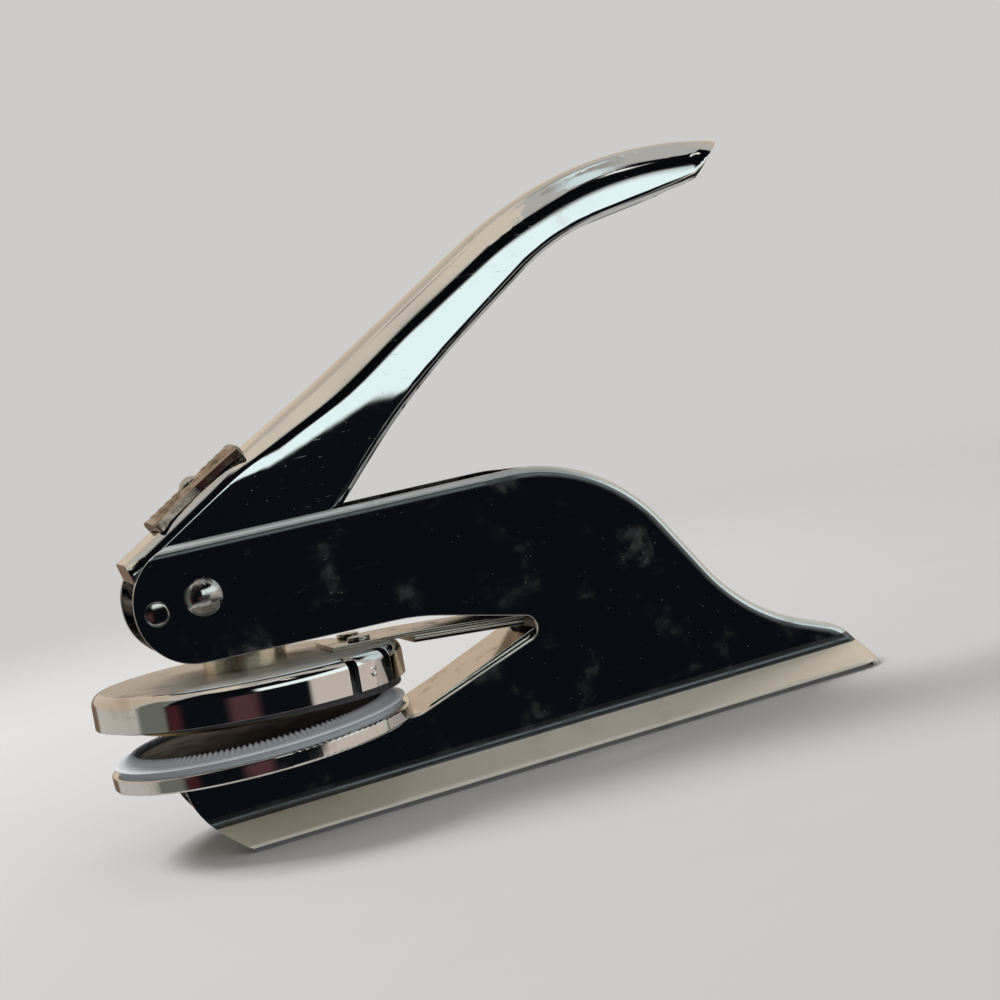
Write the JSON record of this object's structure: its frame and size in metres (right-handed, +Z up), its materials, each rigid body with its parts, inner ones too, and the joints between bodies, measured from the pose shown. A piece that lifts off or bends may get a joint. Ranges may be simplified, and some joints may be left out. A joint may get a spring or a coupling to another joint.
{
  "type": "seal embosser",
  "caption": "Hand-held seal embosser press: folded plated frame with flared foot, lever on a pivot rivet, hinged round upper die over a toothed lower die.",
  "frame": {"origin": "centre of the bounding box's lower face, on the surface the flared foot stands on", "axes": "+X from the nose to the tail, along the frame; +Y to the left when seen from behind the tail; +Z up"},
  "size_m": [0.139, 0.0542, 0.1024],
  "materials": {
    "bright_nickel": "polished nickel plate",
    "chrome_cup": "polished chrome plate",
    "warm_nickel": "worn warm nickel plate",
    "plain_steel": "turned and zinc-bright",
    "satin_steel": "rolled spring strip",
    "die_brass": "engraved, satin",
    "pale_plastic": "moulded, pale blue-grey",
    "dark_plastic": "moulded, near black"
  },
  "bodies": {
    "frame": {"frame_channel": "bright_nickel", "lever_pivot_rivet": "bright_nickel", "pivot_washers": "plain_steel", "stop_pin": "plain_steel", "lower_die_holder": "chrome_cup", "counter_die_ring": "pale_plastic", "counter_die_plate": "dark_plastic", "lower_holder_rivets": "plain_steel", "lower_leaf": "satin_steel", "leaf_anchor": "plain_steel"},
    "upper_die": {"upper_die_cap": "chrome_cup", "upper_die_body": "dark_plastic", "upper_die_plate": "die_brass", "plunger_boss": "warm_nickel", "boss_stud": "plain_steel", "upper_leaf": "satin_steel", "upper_leaf_backing": "satin_steel", "leaf_rivets": "plain_steel"},
    "lever": {"lever_channel": "bright_nickel", "pivot_bush": "plain_steel", "cam_pin": "plain_steel", "badge_plate": "warm_nickel", "badge_rivet": "warm_nickel"},
    "roller": {"cam_roller": "plain_steel"}
  },
  "joints": [
    {"name": "lever_swing", "type": "hinge", "parent": "frame", "child": "lever", "pos_m": [-0.04777, 0, 0.0428], "axis": [0, 1, 0], "range_deg": [0, 22], "stiffness_Nm_per_rad": 0.6, "springref_deg": -20.05},
    {"name": "die_close", "type": "hinge", "parent": "frame", "child": "upper_die", "pos_m": [0.00723, 0, 0.0246], "axis": [0, -1, 0], "range_deg": [0, 3.6]},
    {"name": "roller_spin", "type": "hinge", "parent": "lever", "child": "roller", "pos_m": [-0.03907, 0, 0.0386], "axis": [0, 1, 0], "continuous": true}
  ],
  "couplings": [
    {"joint": "die_close", "follows": "lever_swing", "ratio": 0.16136}
  ]
}
